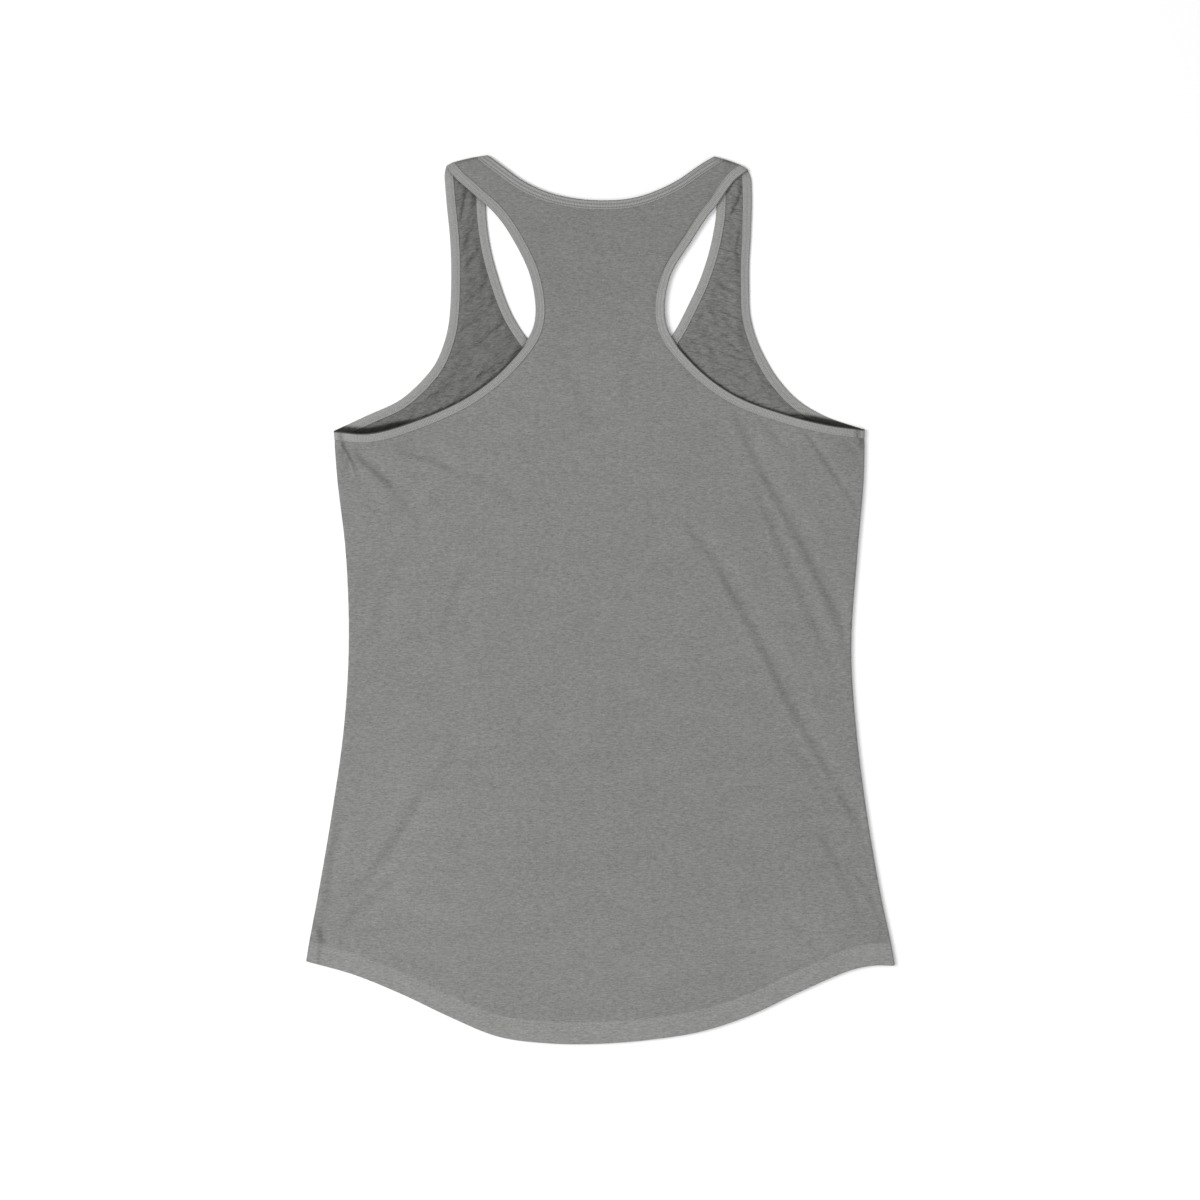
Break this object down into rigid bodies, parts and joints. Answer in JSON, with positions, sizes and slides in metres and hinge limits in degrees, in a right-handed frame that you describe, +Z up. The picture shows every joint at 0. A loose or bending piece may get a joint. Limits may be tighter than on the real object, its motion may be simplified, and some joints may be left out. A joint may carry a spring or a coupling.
{
  "type": "racerback tank top laid flat",
  "caption": "Racerback tank top in heather jersey, laid flat with its back up, with bound neck and armholes and a curved turned-up hem.",
  "frame": {"origin": "on the surface it lies on, under the middle of the garment's outline", "axes": "+Y from the hem to the shoulders, +X towards the wearer's right, +Z up out of the back panel"},
  "size_m": [0.459, 0.6934, 0.0061],
  "materials": {
    "body_jersey": "matte heather jersey with fine horizontal streaks",
    "binding_jersey": "matte heather jersey, folded and coverstitched"
  },
  "bodies": {
    "root": {"front_panel": "body_jersey", "back_panel": "body_jersey", "neck_binding": "binding_jersey", "armhole_binding_left": "binding_jersey", "armhole_binding_right": "binding_jersey"}
  },
  "joints": []
}
